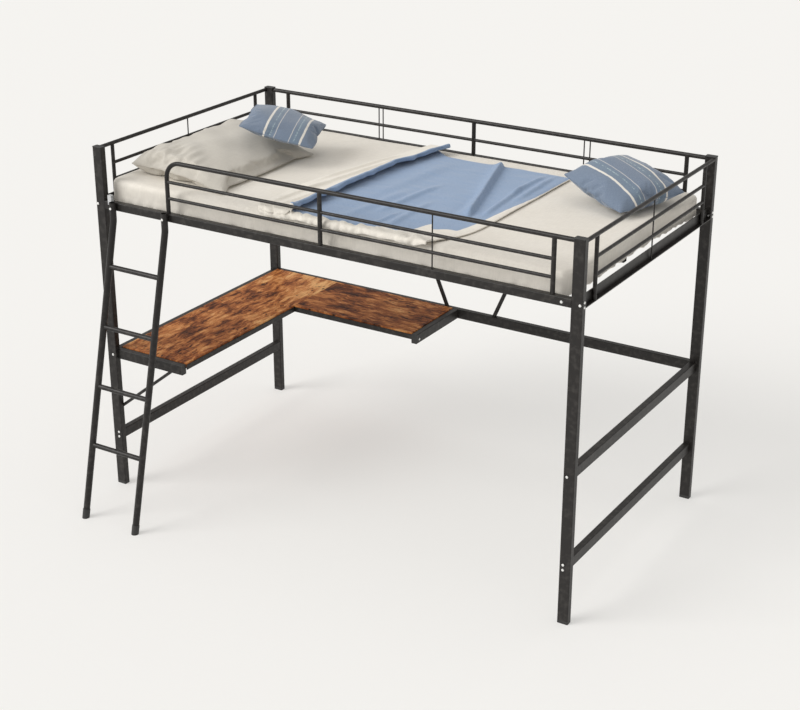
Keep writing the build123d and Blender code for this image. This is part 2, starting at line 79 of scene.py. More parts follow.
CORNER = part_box("post_front_left")[0]                # the frame's front left corner, on plan
BLANKET_CUT = (0.97, 0.97)                           # the blanket laid out flat
BLOW_FRAMES, BLOW_PRESSURE = 20, 4.0                 # every pillow's cloth simulation
WIDE_STRIPE, THIN_STRIPE = 0.0042, 0.0013            # half widths of the throw's stripes
NEAR_BLACK = (0.016, 0.008, 0.005)                   # knots and flecks of the boards
COTTONS = {
    # cloth: dark colour, light colour, thread pitch, crumple, sheen
    "sheet_cotton": ((0.740, 0.698, 0.625), (0.800, 0.762, 0.695), 0.0011, 0.10, 0.15),
    "ticking": ((0.60, 0.57, 0.50), (0.68, 0.65, 0.59), 0.0020, 0.15, 0.1),
    "pillow_cotton": ((0.535, 0.505, 0.450), (0.600, 0.570, 0.510), 0.0012, 0.16, 0.2),
}


# ---- camera, floor, light -------------------------------------------------------------------
def add_camera():
    a, e = math.radians(CAMERA_AZIMUTH), math.radians(CAMERA_ELEVATION)
    back = Vector((math.sin(a) * math.cos(e), -math.cos(a) * math.cos(e), math.sin(e)))
    data = bpy.data.cameras.new("camera")
    data.lens, data.sensor_width = CAMERA_LENS, SENSOR
    data.clip_end = 200
    camera = bpy.data.objects.new("camera", data)
    camera.location = CAMERA_AIM + back * CAMERA_DISTANCE
    camera.rotation_mode = "QUATERNION"
    camera.rotation_quaternion = (-back).to_track_quat("-Z", "Y")
    scene.collection.objects.link(camera)
    scene.camera = camera


def sun_light(name, source, spread, strength, colour):
    """Even soft light, shining from the given direction."""
    data = bpy.data.lights.new(name, "SUN")
    data.angle, data.energy, data.color = math.radians(spread), strength, colour
    lamp = bpy.data.objects.new(name, data)
    lamp.rotation_mode = "QUATERNION"
    lamp.rotation_quaternion = (-Vector(source)).to_track_quat("-Z", "Y")
    scene.collection.objects.link(lamp)


def add_light():
    """Even ambient light, a backdrop in the floor's colour that only the camera sees, and the suns."""
    world = bpy.data.worlds.new("studio")
    world.use_nodes = True
    scene.world = world
    nodes, links = world.node_tree.nodes, world.node_tree.links
    ambient = nodes["Background"]
    ambient.inputs["Color"].default_value = AMBIENT_COLOUR
    ambient.inputs["Strength"].default_value = AMBIENT
    seen = nodes.new("ShaderNodeBackground")
    seen.inputs["Color"].default_value = (*FLOOR_COLOUR, 1)
    seen.inputs["Strength"].default_value = BACKDROP
    path = nodes.new("ShaderNodeLightPath")
    mix = nodes.new("ShaderNodeMixShader")
    links.new(path.outputs["Is Camera Ray"], mix.inputs["Fac"])
    links.new(ambient.outputs["Background"], mix.inputs[1])
    links.new(seen.outputs["Background"], mix.inputs[2])
    links.new(mix.outputs["Shader"], nodes["World Output"].inputs["Surface"])
    for sun in SUNS:
        sun_light(*sun)


def add_floor():
    mesh = bpy.data.meshes.new("studio_floor")
    corners = [(-1, -1), (1, -1), (1, 1), (-1, 1)]
    mesh.from_pydata([(x * FLOOR_REACH, y * FLOOR_REACH, 0) for x, y in corners], [], [(0, 1, 2, 3)])
    floor = bpy.data.objects.new("studio_floor", mesh)
    scene.collection.objects.link(floor)
    s = Shader("studio_floor")
    s.bsdf.inputs["Emission Color"].default_value = (*FLOOR_COLOUR, 1)
    s.bsdf.inputs["Emission Strength"].default_value = FLOOR_GLOW
    shaded = tuple(c * (1 - FLOOR_GLOW) for c in FLOOR_COLOUR)
    mesh.materials.append(s.out(colour=shaded, rough=0.9, specular=0.0))


# ---- node helpers ---------------------------------------------------------------------------
class Shader:
    """A material and short ways to add nodes to it."""

    def __init__(self, name):
        self.material = bpy.data.materials.new(name)
        self.material.use_nodes = True
        self.tree = self.material.node_tree
        self.bsdf = self.tree.nodes["Principled BSDF"]

    def add(self, kind, links=None, values=None, **settings):
        node = self.tree.nodes.new("ShaderNode" + kind)
        for key, value in settings.items():
            setattr(node, key, value)
        for key, value in (values or {}).items():
            node.inputs[key].default_value = value
        for key, socket in (links or {}).items():
            self.tree.links.new(socket, node.inputs[key])
        return node

    def coords(self, scale=(1, 1, 1)):
        """Places on the object, in metres times scale."""
        return self.scaled(self.add("TexCoord").outputs["Object"], scale)

    def scaled(self, vector, scale):
        return self.add("Mapping", {"Vector": vector}, {"Scale": scale}).outputs["Vector"]

    def map(self, name):
        return self.add("UVMap", uv_map=name).outputs["UV"]

    def split(self, vector):
        return self.add("SeparateXYZ", {"Vector": vector}).outputs

    def noise(self, vector, scale, detail=3.0, rough=0.5):
        node = self.add("TexNoise", {"Vector": vector},
                        {"Scale": scale, "Detail": detail, "Roughness": rough})
        return node.outputs["Fac"]

    def ramp(self, fac, stops, interpolation="LINEAR"):
        """Colours, or plain brightnesses, at their places between 0 and 1."""
        node = self.add("ValToRGB", {"Fac": fac})
        node.color_ramp.interpolation = interpolation
        marks = node.color_ramp.elements
        while len(marks) < len(stops):
            marks.new(0.5)
        for mark, (at, colour) in zip(marks, stops):
            mark.position = at
            mark.color = (*colour, 1) if hasattr(colour, "__len__") else (colour, colour, colour, 1)
        return node.outputs["Color"]

    def math(self, operation, a, b=None):
        node = self.add("Math", operation=operation)
        for socket, value in zip(node.inputs, (a, b)):
            if value is None:
                continue
            if isinstance(value, (int, float)):
                socket.default_value = value
            else:
                self.tree.links.new(value, socket)
        return node.outputs["Value"]

    def mix(self, fac, a, b, blend="MIX"):
        """Colour a turned into colour b by the share fac; 0, 6 and 7 are the node's colour sockets."""
        node = self.add("Mix", data_type="RGBA", blend_type=blend)
        for index, value in ((0, fac), (6, a), (7, b)):
            socket = node.inputs[index]
            if isinstance(value, (int, float)):
                socket.default_value = value
            elif isinstance(value, tuple):
                socket.default_value = (*value, 1)
            else:
                self.tree.links.new(value, socket)
        return node.outputs[2]

    def bump(self, height, strength, distance, normal=None):
        links = {"Height": height}
        if normal is not None:
            links["Normal"] = normal
        node = self.add("Bump", links, {"Strength": strength, "Distance": distance})
        return node.outputs["Normal"]

    def out(self, **sockets):
        """The finished material, with its surface sockets set."""
        names = {"colour": "Base Color", "rough": "Roughness", "normal": "Normal", "metal": "Metallic",
                 "sheen": "Sheen Weight", "sheen_rough": "Sheen Roughness",
                 "specular": "Specular IOR Level", "transmission": "Transmission Weight"}
        for key, value in sockets.items():
            socket = self.bsdf.inputs[names[key]]
            if isinstance(value, tuple):
                socket.default_value = (*value, 1)
            elif isinstance(value, (int, float)):
                socket.default_value = value
            else:
                self.tree.links.new(value, socket)
        return self.material


# ---- hard materials -------------------------------------------------------------------------
def powder_steel():
    """Near-black powder coat: fine orange peel, faint dust, and a painted highlight that lightens its edges
    in patches.
    """
    s = Shader("powder_steel")
    near = s.coords()
    cloud = s.noise(near, 7.0, 4.0)
    base = s.ramp(cloud, [(0.3, (0.0150, 0.0135, 0.0127)), (0.7, (0.0162, 0.0146, 0.0138))])
    speck = s.ramp(s.noise(near, 1100.0, 2.0), [(0.42, 0.85), (0.62, 1.15)])
    colour = s.mix(0.6, base, speck, "MULTIPLY")
    # painted highlight: sharp edges are lightened in patches, standing in for light caught on the edges
    edge = s.add("NewGeometry").outputs["Pointiness"]
    painted_edge_highlight = s.ramp(edge, [(0.52, 0.0), (0.62, 1.0)])
    highlight_patches = s.ramp(s.noise(near, 60.0, 5.0), [(0.48, 0.04), (0.68, 0.35)])
    colour = s.mix(s.math("MULTIPLY", painted_edge_highlight, highlight_patches), colour, (0.085, 0.078, 0.072))
    peel = s.noise(near, 420.0, 2.0)
    normal = s.bump(peel, 0.12, 0.0004)
    rough = s.ramp(cloud, [(0.2, 0.38), (0.8, 0.40)])
    return s.out(colour=colour, rough=rough, normal=normal, specular=0.28)


def moulded_plastic():
    s = Shader("moulded_plastic")
    near = s.coords()
    colour = s.ramp(s.noise(near, 40.0, 3.0), [(0.3, (0.018, 0.018, 0.018)), (0.7, (0.028, 0.027, 0.026))])
    normal = s.bump(s.noise(near, 700.0, 1.0), 0.25, 0.0004)
    return s.out(colour=colour, rough=0.5, normal=normal)


def bright_zinc():
    s = Shader("bright_zinc")
    near = s.coords()
    colour = s.ramp(s.noise(near, 90.0, 2.0), [(0.3, (0.74, 0.74, 0.73)), (0.7, (0.9, 0.9, 0.88))])
    rough = s.ramp(s.noise(near, 300.0, 2.0), [(0.3, 0.26), (0.7, 0.4)])
    return s.out(colour=colour, rough=rough, metal=0.55)


def frosted_plastic():
    s = Shader("frosted_plastic")
    near = s.coords()
    colour = s.ramp(s.noise(near, 60.0, 2.0), [(0.3, (0.72, 0.73, 0.74)), (0.7, (0.86, 0.87, 0.88))])
    normal = s.bump(s.noise(near, 400.0, 1.0), 0.3, 0.0004)
    return s.out(colour=colour, rough=0.4, normal=normal, transmission=0.35)


def rustic_board(name, along, seed, light):
    """Rustic brown board: golden and dark clouds, short streaks along X or Y, knots and dark flecks."""
    s = Shader(name)
    turn = (0, 0, 0) if along == "x" else (0, 0, math.radians(90))
    place = s.add("TexCoord").outputs["Object"]
    base = s.add("Mapping", {"Vector": place}, {"Rotation": turn, "Location": (seed, seed * 0.7, 0)}
                 ).outputs["Vector"]
    warp = s.add("TexNoise", {"Vector": base}, {"Scale": 9.0, "Detail": 5.0, "Roughness": 0.6})
    bent = s.add("VectorMath", {0: warp.outputs["Color"], 2: base}, {1: (0.085, 0.050, 0.0)},
                 operation="MULTIPLY_ADD")

    def stretched(*scale):
        """The warped board, squeezed along and across its grain."""
        return s.scaled(bent.outputs["Vector"], (*scale, 1.0))

    def spots(*scale):
        """Distance from the nearest of many scattered points."""
        scatter = s.add("TexVoronoi", {"Vector": stretched(*scale)}, {"Scale": 1.0, "Randomness": 1.0})
        return scatter.outputs["Distance"]

    def swing(value, size):
        return s.math("MULTIPLY", s.math("SUBTRACT", value, 0.5), size)

    distance = spots(6.6, 10.5)
    knot = s.ramp(distance, [(0.050, 1.0), (0.085, 0.0)], "EASE")
    halo = s.ramp(distance, [(0.06, 1.0), (0.30, 0.0)], "EASE")
    rings = s.math("SINE", s.math("MULTIPLY", distance, 90.0))
    streak = s.noise(stretched(11.0, 70.0), 1.0, 9.0, 0.72)
    cloud = s.noise(stretched(10.0, 25.0), 1.0, 8.0, 0.68)
    patch = s.noise(stretched(2.4, 4.2), 1.0, 3.0, 0.5)
    fibre = s.noise(stretched(34.0, 520.0), 1.0, 4.0, 0.6)
    tone = s.math("ADD", swing(streak, 1.35), swing(cloud, 1.75))
    tone = s.math("ADD", tone, swing(patch, 0.75))
    tone = s.math("ADD", tone, s.math("MULTIPLY", s.math("MULTIPLY", rings, halo), 0.05))
    tone = s.math("SUBTRACT", tone, s.math("MULTIPLY", halo, 0.13))
    # light lifts the whole tone; the left board gets more than the back one, which is painted light for the
    # lamp's light falling on it
    tone = s.math("ADD", tone, 0.5 + light)
    colour = s.ramp(tone, [(0.08, (0.024, 0.008, 0.004)), (0.26, (0.125, 0.034, 0.011)),
                           (0.42, (0.320, 0.098, 0.028)), (0.62, (0.580, 0.225, 0.070)),
                           (0.90, (0.840, 0.470, 0.195))])
    fine = s.ramp(fibre, [(0.32, 0.62), (0.60, 1.08)])
    colour = s.mix(0.7, colour, fine, "MULTIPLY")
    saw_mark = s.ramp(s.noise(stretched(130.0, 9.0), 1.0, 3.0), [(0.57, 0.0), (0.66, 0.6)])
    shade = s.ramp(cloud, [(0.44, 1.0), (0.54, 0.0)])
    colour = s.mix(s.math("MULTIPLY", saw_mark, shade), colour, (0.020, 0.009, 0.006))
    flecks = s.ramp(spots(26.0, 60.0), [(0.14, 0.9), (0.30, 0.0)])
    some = s.ramp(s.noise(stretched(5.0, 9.0), 1.0, 2.0), [(0.47, 0.0), (0.56, 1.0)])
    colour = s.mix(s.math("MULTIPLY", flecks, some), colour, NEAR_BLACK)
    colour = s.mix(s.math("MULTIPLY", knot, 0.92), colour, NEAR_BLACK)
    height = s.math("ADD", s.math("MULTIPLY", fibre, 0.6), s.math("MULTIPLY", streak, 0.6))
    normal = s.bump(height, 0.30, 0.0010)
    rough = s.ramp(fibre, [(0.3, 0.56), (0.7, 0.44)])
    return s.out(colour=colour, rough=rough, normal=normal, specular=0.12)


# ---- cloth materials ------------------------------------------------------------------------
def thread(s, u, v, pitch):
    """Height of a plain weave, 0 to 1, from two crossing coordinates in metres."""
    turn = math.tau / pitch
    warp = s.math("SINE", s.math("MULTIPLY", u, turn))
    weft = s.math("SINE", s.math("MULTIPLY", v, turn))
    return s.math("ADD", s.math("MULTIPLY", s.math("MULTIPLY", warp, weft), 0.25), 0.5)


def crossed(s, flat, fine, coarse):
    """Melange of yarns that run both ways over a cloth's own map, 0 to 1."""
    warp = s.noise(s.scaled(flat, (fine, coarse, 1)), 1.0, 2.0)
    weft = s.noise(s.scaled(flat, (coarse, fine, 1)), 1.0, 2.0)
    return s.math("MULTIPLY", s.math("ADD", warp, weft), 0.5)


def plain_cloth(name):
    """Cotton: crossing threads, slubs, faint clouds of wear and a soft sheen."""
    dark, light, pitch, crumple, sheen = COTTONS[name]
    s = Shader(name)
    near = s.coords()
    x, y, z = s.split(near)
    weave = thread(s, s.math("ADD", x, z), s.math("ADD", y, z), pitch)
    cloud = s.noise(near, 4.5, 4.0, 0.55)
    slub = s.noise(s.coords((260, 40, 40)), 1.0, 2.0)
    slub_across = s.noise(s.coords((40, 260, 40)), 1.0, 2.0)
    slubs = s.math("MULTIPLY", s.math("ADD", slub, slub_across), 0.5)
    colour = s.mix(s.ramp(cloud, [(0.3, 0.0), (0.7, 1.0)]), dark, light)
    colour = s.mix(0.5, colour, s.ramp(slubs, [(0.35, 0.90), (0.65, 1.06)]), "MULTIPLY")
    colour = s.mix(0.35, colour, s.ramp(weave, [(0.25, 0.86), (0.6, 1.0)]), "MULTIPLY")
    soft = s.bump(s.noise(near, 26.0, 3.0, 0.5), crumple, 0.004)
    normal = s.bump(s.math("ADD", weave, s.math("MULTIPLY", slubs, 1.4)), 0.30, 0.0005, soft)
    rough = s.ramp(cloud, [(0.3, 0.80), (0.7, 0.9)])
    return s.out(colour=colour, rough=rough, normal=normal, sheen=sheen, sheen_rough=0.5, specular=0.2)


def striped_weave(name, middle, thin, broken, wide):
    """Slate-blue throw: two wide cream stripes, two thin ones and two broken pale ones."""
    s = Shader(name)
    flat = s.map("cloth")
    u, v, _ = s.split(flat)
    near = s.coords()
    wobble = s.math("MULTIPLY", s.math("SUBTRACT", s.noise(near, 55.0, 3.0), 0.5), 0.004)
    across = s.math("ADD", s.math("SUBTRACT", u, 0.5 + middle), wobble)
    reach = s.math("ABSOLUTE", across)

    def stripe(at, half, blur=0.0007):
        """1 on the two stripes at this distance from the middle, 0 beside them."""
        gap = s.math("ABSOLUTE", s.math("SUBTRACT", reach, at))
        return s.add("MapRange", {"Value": gap}, {1: half + blur, 2: half - blur, 3: 0.0, 4: 1.0}
                     ).outputs["Result"]

    cloud = s.noise(near, 14.0, 4.0, 0.6)
    mixed = crossed(s, flat, 900, 160)
    ground = s.mix(s.ramp(mixed, [(0.34, 0.0), (0.66, 1.0)]), (0.118, 0.155, 0.225), (0.245, 0.300, 0.385))
    ground = s.mix(s.ramp(cloud, [(0.3, 0.0), (0.7, 0.45)]), ground, (0.165, 0.218, 0.292))
    dash = s.ramp(s.noise(s.scaled(flat, (30, 120, 1)), 1.0, 3.0, 0.7), [(0.46, 0.0), (0.58, 1.0)])
    tint = s.math("MULTIPLY", stripe((thin + wide) / 2, (wide - thin) * 0.36, 0.003), 0.18)
    colour = s.mix(tint, ground, (0.150, 0.235, 0.270))
    colour = s.mix(s.math("MULTIPLY", stripe(broken, 0.0020, 0.0010), dash), colour, (0.40, 0.50, 0.53))
    colour = s.mix(s.math("MULTIPLY", stripe(thin, THIN_STRIPE), 0.85), colour, (0.66, 0.64, 0.60))
    colour = s.mix(stripe(wide, WIDE_STRIPE), colour, (0.74, 0.71, 0.65))
    weave = thread(s, u, v, 0.0015)
    raised = s.math("ADD", s.math("MULTIPLY", stripe(wide, WIDE_STRIPE), 0.6),
                    s.math("MULTIPLY", stripe(thin, THIN_STRIPE), 0.6))
    height = s.math("ADD", s.math("ADD", weave, s.math("MULTIPLY", mixed, 1.5)), raised)
    soft = s.bump(s.noise(near, 38.0, 3.0), 0.22, 0.004)
    normal = s.bump(height, 0.45, 0.0006, soft)
    return s.out(colour=colour, rough=s.ramp(mixed, [(0.3, 0.95), (0.7, 0.82)]), normal=normal, sheen=0.35,
                 sheen_rough=0.45, specular=0.15)


def blanket_cloth():
    """Brushed blanket: chambray blue on one side, cream on the other, told apart by its border map."""
    s = Shader("blanket_cloth")
    flat = s.map("cloth")
    border = s.split(s.map("border"))["X"]
    u, v, _ = s.split(flat)
    near = s.coords()
    ragged = s.math("MULTIPLY", s.math("SUBTRACT", s.noise(near, 40.0, 2.0), 0.5), 0.02)
    is_blue = s.ramp(s.math("ADD", border, ragged), [(0.49, 0.0), (0.51, 1.0)])
    cloud = s.noise(near, 5.0, 4.0, 0.55)
    melange = crossed(s, flat, 700, 110)
    blue = s.mix(s.ramp(melange, [(0.32, 0.0), (0.68, 1.0)]), (0.190, 0.272, 0.420), (0.325, 0.435, 0.605))
    blue = s.mix(s.ramp(cloud, [(0.35, 0.0), (0.65, 0.35)]), blue, (0.245, 0.335, 0.475))
    cream = s.mix(s.ramp(melange, [(0.32, 0.0), (0.68, 1.0)]), (0.74, 0.695, 0.615), (0.86, 0.825, 0.755))
    colour = s.mix(is_blue, cream, blue)
    weave = thread(s, u, v, 0.0020)
    soft = s.bump(s.noise(near, 30.0, 3.0), 0.18, 0.004)
    normal = s.bump(s.math("ADD", weave, s.math("MULTIPLY", melange, 1.3)), 0.35, 0.0006, soft)
    return s.out(colour=colour, rough=s.ramp(cloud, [(0.3, 0.84), (0.7, 0.94)]), normal=normal, sheen=0.4,
                 sheen_rough=0.4, specular=0.12)


# ---- soft goods: shared shapes --------------------------------------------------------------
def swell(x, y, pitch, seed, waves=9):
    """Smooth wandering height, about -1 to 1, at roughly one pitch in metres."""
    draw = np.random.default_rng(seed)
    total = np.zeros(np.broadcast(x, y).shape)
    for _ in range(waves):
        turn, phase = draw.uniform(0, math.tau, 2)
        size = pitch * draw.uniform(0.65, 1.6)
        total += np.sin((x * math.cos(turn) + y * math.sin(turn)) * math.tau / size + phase)
    return total / waves * 2


def step(value, low, high):
    """0 up to low, 1 from high, and smooth between."""
    t = np.clip((value - low) / (high - low), 0, 1)
    return t * t * (3 - 2 * t)


def soft_floor(z, floor, blend):
    """z, but never under floor: it turns level over about the blend height."""
    return floor + blend * np.logaddexp(0, (z - floor) / blend)


def along_fold(x, y, fold):
    """Height of one soft fold: a ridge from one point to another that fades at both ends."""
    x0, y0, x1, y1, half, height = fold
    run = np.array((x1 - x0, y1 - y0))
    long = np.linalg.norm(run)
    way = run / long
    t = (x - x0) * way[0] + (y - y0) * way[1]
    off = (x - x0) * -way[1] + (y - y0) * way[0]
    ends = step(t, -0.02, long * 0.3) * (1 - step(t, long * 0.7, long + 0.02))
    return height * np.exp(-(off / half) ** 2) * ends


def quads(index):
    """Faces of a grid of vertex numbers."""
    a, b, c, d = index[:-1, :-1], index[1:, :-1], index[1:, 1:], index[:-1, 1:]
    return np.stack([a, b, c, d], -1).reshape(-1, 4)


def make_piece(name, points, faces, material, maps=None):
    """A smooth mesh with one material; maps holds a place on each named map for every point."""
    mesh = bpy.data.meshes.new(name)
    mesh.from_pydata(points.tolist(), [], [tuple(face) for face in np.asarray(faces).tolist()])
    mesh.polygons.foreach_set("use_smooth", [True] * len(mesh.polygons))
    mesh.materials.append(material)
    corner = np.empty(len(mesh.loops), int)
    mesh.loops.foreach_get("vertex_index", corner)
    for key, values in (maps or {}).items():
        layer = mesh.uv_layers.new(name=key)
        layer.data.foreach_set("uv", values[corner].ravel())
    piece = bpy.data.objects.new(name, mesh)
    scene.collection.objects.link(piece)
    return piece


def bake_modifiers(piece):
    """Apply every modifier on the piece."""
    ready = bpy.context.evaluated_depsgraph_get()
    mesh = bpy.data.meshes.new_from_object(piece.evaluated_get(ready))
    mesh.name = piece.name
    piece.modifiers.clear()
    piece.data = mesh


def subdivide(piece, levels=1):
    extra = piece.modifiers.new("finer", "SUBSURF")
    extra.levels = extra.render_levels = levels
    bake_modifiers(piece)


def seam_tube(name, loop, radius, material, spin=6):
    """A closed cord of cloth along a closed line of points."""
    loop = np.asarray(loop)
    ahead = np.roll(loop, -1, 0) - np.roll(loop, 1, 0)
    ahead /= np.linalg.norm(ahead, axis=1)[:, None]
    out = loop - loop.mean(0)
    out -= (out * ahead).sum(1)[:, None] * ahead
    out /= np.linalg.norm(out, axis=1)[:, None]
    up = np.cross(ahead, out)
    rings = []
    for k in range(spin):
        angle = math.tau * k / spin
        rings.append(loop + radius * (math.cos(angle) * out + math.sin(angle) * up))
    points = np.stack(rings, 1)
    index = np.arange(len(loop) * spin).reshape(len(loop), spin)
    closed = np.concatenate([index, index[:, :1]], 1)
    closed = np.concatenate([closed, closed[:1]], 0)
    return make_piece(name, points.reshape(-1, 3), quads(closed), material)


# ---- soft goods: pillows --------------------------------------------------------------------
class Pillow:
    """Two layers of cloth joined round a rectangle and blown up by a cloth simulation."""

    def __init__(self, size, points, start, belly):
        """Start is the height it begins at, belly the share by which its sides bow out."""
        nx, ny = points
        u, v = np.meshgrid(np.linspace(-0.5, 0.5, nx), np.linspace(-0.5, 0.5, ny), indexing="ij")
        dome = (1 - (2 * u) ** 4) * (1 - (2 * v) ** 4) * start
        border = (np.abs(u) == 0.5) | (np.abs(v) == 0.5)
        self.top = np.arange(nx * ny).reshape(nx, ny)
        self.low = self.top.copy()
        self.low[~border] = nx * ny + np.arange((~border).sum())
        bulge_u, bulge_v = 1 + belly * (1 - (2 * v) ** 2), 1 + belly * (1 - (2 * u) ** 2)
        flat = np.stack([u * size[0] * bulge_u, v * size[1] * bulge_v], -1)
        upper = np.concatenate([flat, dome[..., None]], -1).reshape(-1, 3)
        lower = np.concatenate([flat, -dome[..., None]], -1)[~border]
        self.points = np.concatenate([upper, lower])
        self.flat = np.concatenate([flat.reshape(-1, 2), flat[~border]])
        self.faces = np.concatenate([quads(self.top), quads(self.low)[:, ::-1]])
        self.rim = np.concatenate([self.top[:, 0], self.top[-1, 1:], self.top[-2::-1, -1],
                                   self.top[0, -2:0:-1]])

    def blow_up(self, cap):
        """Cloth simulation with pressure and no gravity; no point moves further than cap."""
        mesh = bpy.data.meshes.new("rising")
        mesh.from_pydata(self.points.tolist(), [], self.faces.tolist())
        rising = bpy.data.objects.new("rising", mesh)
        scene.collection.objects.link(rising)
        cloth = rising.modifiers.new("cloth", "CLOTH")
        cloth.settings.quality = 6
        cloth.settings.mass = 0.3
        cloth.settings.use_pressure = True
        cloth.settings.uniform_pressure_force = BLOW_PRESSURE
        cloth.settings.effector_weights.gravity = 0
        cloth.settings.bending_stiffness = 0.4
        cloth.collision_settings.use_collision = False
        cloth.point_cache.frame_start, cloth.point_cache.frame_end = 1, BLOW_FRAMES + 1
        for frame_number in range(1, BLOW_FRAMES + 1):
            scene.frame_set(frame_number)
        ready = bpy.context.evaluated_depsgraph_get()
        blown = rising.evaluated_get(ready).to_mesh()
        after = np.empty(len(self.points) * 3)
        blown.vertices.foreach_get("co", after)
        bpy.data.objects.remove(rising)
        bpy.data.meshes.remove(mesh)
        scene.frame_set(1)
        move = after.reshape(-1, 3) - self.points
        far = np.linalg.norm(move, axis=1)[:, None]
        self.points = self.points + move * np.minimum(1, cap / np.maximum(far, 1e-9))

    def fit(self, wide, deep, thick):
        low, high = self.points.min(0), self.points.max(0)
        self.points = (self.points - (low + high) / 2) * (np.array((wide, deep, thick)) / (high - low))

    def place(self, centre, x_way, normal):
        """Turn it so that its first side runs x_way and its top faces normal."""
        normal = np.array(normal) / np.linalg.norm(normal)
        x_way = np.array(x_way) - np.dot(x_way, normal) * normal
        x_way /= np.linalg.norm(x_way)
        y_way = np.cross(normal, x_way)
        self.points = np.array(centre) + self.points @ np.stack([x_way, y_way, normal])

    def build(self, name, material, body, slot, fill, seam):
        maps = {"cloth": self.flat + 0.5}
        piece = make_piece(name, self.points, self.faces, material, maps)
        subdivide(piece)
        line = self.points[self.rim]
        line = (np.roll(line, 1, 0) + 2 * line + np.roll(line, -1, 0)) / 4
        edge = seam_tube(name + "_seam", line, seam, material)
        subdivide(edge)
        for cloth in (piece, edge):
            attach(cloth, body)
        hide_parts(name)
        return piece


def support_height(piece, points, none):
    """Height of the piece's top surface under or over each point, and none beside the piece."""
    mesh = piece.data
    tree = BVHTree.FromPolygons([v.co for v in mesh.vertices], [tuple(p.vertices) for p in mesh.polygons])
    heights = np.full(len(points), none)
    for i, (x, y, _) in enumerate(points):
        hit = tree.ray_cast(Vector((x, y, none + 1)), Vector((0, 0, -1)))[0]
        if hit is not None:
            heights[i] = hit.z
    return heights


def node_box(name):
    low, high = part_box(name)
    return np.array(low), np.array(high)


def make_sleeping_pillow(material, bed_top):
    """Flat head pillow: level underside, highest along the head rail, thin at its right edge."""
    low, high = node_box("sleeping_pillow")
    pillow = Pillow((0.50, 0.68), points=(62, 82), start=0.016, belly=0.075)
    pillow.blow_up(cap=0.06)
    pillow.fit(1.0, 1.0, 1.0)
    u, v, w = pillow.points.T + 0.5
    # plan of its four corners, as shares of the node's box
    corners = np.array([[(0.0, 0.05), (0.02, 1.03)], [(1.0, -0.03), (0.97, 0.90)]])
    ends = low[:2] + corners * (high - low)[:2]
    plan = sum(ends[i, j] * ((u if i else 1 - u) * (v if j else 1 - v))[:, None]
               for i in (0, 1) for j in (0, 1))
    thick = 0.118 - 0.052 * step(u, 0.40, 1.0)
    middle = bed_top + 0.036 - 0.027 * step(u, 0.50, 1.0)
    z = middle + (w - 0.5) * thick
    crumple = swell(plan[:, 0], plan[:, 1] * 0.7, 0.13, 21) * 0.0035
    front = np.exp(-(((u - 0.30) / 0.34) ** 2 + ((v - 0.08) / 0.15) ** 2))
    crumple += swell(plan[:, 0] * 1.5, plan[:, 1] * 0.7, 0.075, 22) * 0.0120 * front
    head = np.exp(-(((u - 0.06) / 0.14) ** 2))
    crumple += swell(plan[:, 0], plan[:, 1] * 1.5, 0.110, 23) * 0.0040 * head
    z += crumple * step(w, 0.40, 0.70)
    z = soft_floor(z, bed_top + 0.0012, 0.003)
    pillow.points = np.column_stack([plan, z])
    return pillow.build("sleeping_pillow", material, "sleeping_pillow", "pillow_cotton",
                        fill=0.6, seam=0.0016)


def make_throw(name, material, size, x_way, normal, thick, below, seed):
    """Square throw pillow with drooping corners; below gives the height that carries it."""
    low, high = node_box(name)
    pillow = Pillow((size, size), points=(60, 60), start=0.010, belly=0.11)
    pillow.blow_up(cap=0.05)
    pillow.fit(size, size, thick)
    x, y, z = pillow.points.T
    droop = 0.10 * (np.abs(x / size) ** 2 + 0.6 * np.abs(y / size) ** 2) * thick
    pillow.points[:, 2] = z - droop + swell(x, y, 0.12, seed) * 0.0016
    pillow.place((low + high) / 2, x_way, normal)
    rest = below(pillow.points)
    pillow.points[:, 2] = soft_floor(pillow.points[:, 2], rest + 0.0015, 0.003)
    pillow.build(name, material, name, "striped_weave", fill=0.8, seam=0.0012)


# ---- soft goods: mattress and its fitted sheet ----------------------------------------------
def box_grid(size, cell, under):
    """Points and faces of a box, open below except for a strip as wide as under."""
    wide, deep, high = size
    counts = [max(2, round(length / cell)) for length in size]
    xs = np.linspace(-wide / 2, wide / 2, counts[0] + 1)
    ys = np.linspace(-deep / 2, deep / 2, counts[1] + 1)
    zs = np.linspace(0, high, counts[2] + 1)
    build = bmesh.new()
    made = {}

    def vertex(x, y, z):
        key = (round(x, 5), round(y, 5), round(z, 5))
        if key not in made:
            made[key] = build.verts.new((x, y, z))
        return made[key]

    def patch(first, second, point):
        for a0, a1 in zip(first, first[1:]):
            for b0, b1 in zip(second, second[1:]):
                build.faces.new([vertex(*point(*at)) for at in ((a0, b0), (a1, b0), (a1, b1), (a0, b1))])

    patch(xs, ys, lambda a, b: (a, b, high))
    for side in (-1, 1):
        patch(xs[::-side], zs, lambda a, b, side=side: (a, side * deep / 2, b))
        patch(ys[::side], zs, lambda a, b, side=side: (side * wide / 2, a, b))
    keep_x, keep_y = wide / 2 - under, deep / 2 - under
    for a0, a1 in zip(xs, xs[1:]):
        for b0, b1 in zip(ys, ys[1:]):
            if under and abs(a0 + a1) / 2 < keep_x and abs(b0 + b1) / 2 < keep_y:
                continue
            build.faces.new([vertex(*at) for at in ((a0, b0, 0), (a0, b1, 0), (a1, b1, 0), (a1, b0, 0))])
    build.verts.index_update()
    points = np.array([v.co for v in build.verts])
    faces = [tuple(v.index for v in face.verts) for face in build.faces]
    build.free()
    return points, faces


